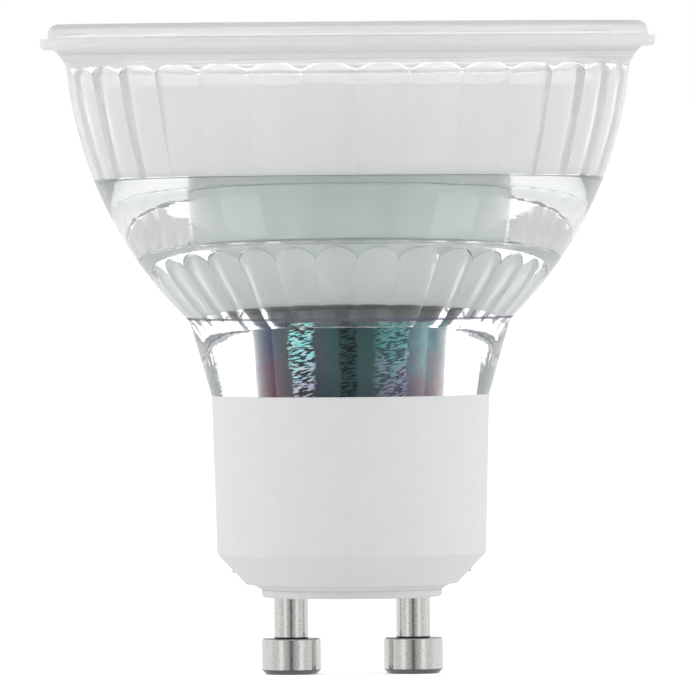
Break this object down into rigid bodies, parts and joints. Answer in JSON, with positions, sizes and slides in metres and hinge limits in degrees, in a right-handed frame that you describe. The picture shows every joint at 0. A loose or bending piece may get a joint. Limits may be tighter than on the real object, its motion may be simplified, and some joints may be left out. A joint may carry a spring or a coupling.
{
  "type": "reflector lamp bulb",
  "caption": "Spotlight bulb with a twist-lock two-pin base, white shell, fluted pressed-glass cup and clear flat front.",
  "frame": {"origin": "on the lamp's axis, level with the end faces of the two contact pins", "axes": "+Z along the lamp's axis towards the front cover, +X from the left pin to the right one"},
  "size_m": [0.0504, 0.0504, 0.0534],
  "materials": {
    "pressed_glass": "clear pressed glass",
    "clear_cover": "clear moulded lens",
    "clear_silicone": "clear cured bead",
    "white_shell": "smooth satin white",
    "nickel_pin": "turned and nickel plated",
    "reflector_white": "smooth pale grey white",
    "sink_aluminium": "drawn, matt anodised",
    "film_sleeve": "dark shiny film with colour play",
    "thermal_paste": "soft white",
    "white_board": "white solder mask",
    "led_body": "matt white",
    "phosphor": "soft yellow",
    "solder": "bright solder",
    "green_board": "green solder mask",
    "black_epoxy": "moulded epoxy",
    "ferrite": "sintered ferrite",
    "copper_winding": "enamelled copper",
    "capacitor_sleeve": "sleeved can",
    "film_capacitor": "dipped box",
    "resistor_body": "lacquered",
    "tinned_lead": "tinned",
    "small_ceramic": "sintered chips",
    "wire_black": "soft insulation",
    "wire_red": "soft insulation",
    "cement": "fine grained"
  },
  "bodies": {
    "root": {"base_shell": "white_shell", "neck_cement": "cement", "contact_pin_left": "nickel_pin", "contact_pin_right": "nickel_pin", "mains_lead_left": "tinned_lead", "mains_lead_right": "tinned_lead", "glass_cup": "pressed_glass", "cover_adhesive": "clear_silicone", "front_cover": "clear_cover", "reflector_ring": "reflector_white", "heat_sink": "sink_aluminium", "thermal_paste": "thermal_paste", "led_board": "white_board", "led_packages": "led_body", "led_phosphors": "phosphor", "solder_joints": "solder", "led_wire_negative": "wire_black", "led_wire_positive": "wire_red", "insulating_sleeve": "film_sleeve", "driver_board": "green_board", "electrolytic_capacitor": "capacitor_sleeve", "capacitor_leads": "tinned_lead", "choke_core": "ferrite", "choke_winding": "copper_winding", "film_capacitor": "film_capacitor", "fusible_resistor": "resistor_body", "bridge_rectifier": "black_epoxy", "driver_chip": "black_epoxy", "package_legs": "tinned_lead", "surface_mount_parts": "small_ceramic"}
  },
  "joints": []
}
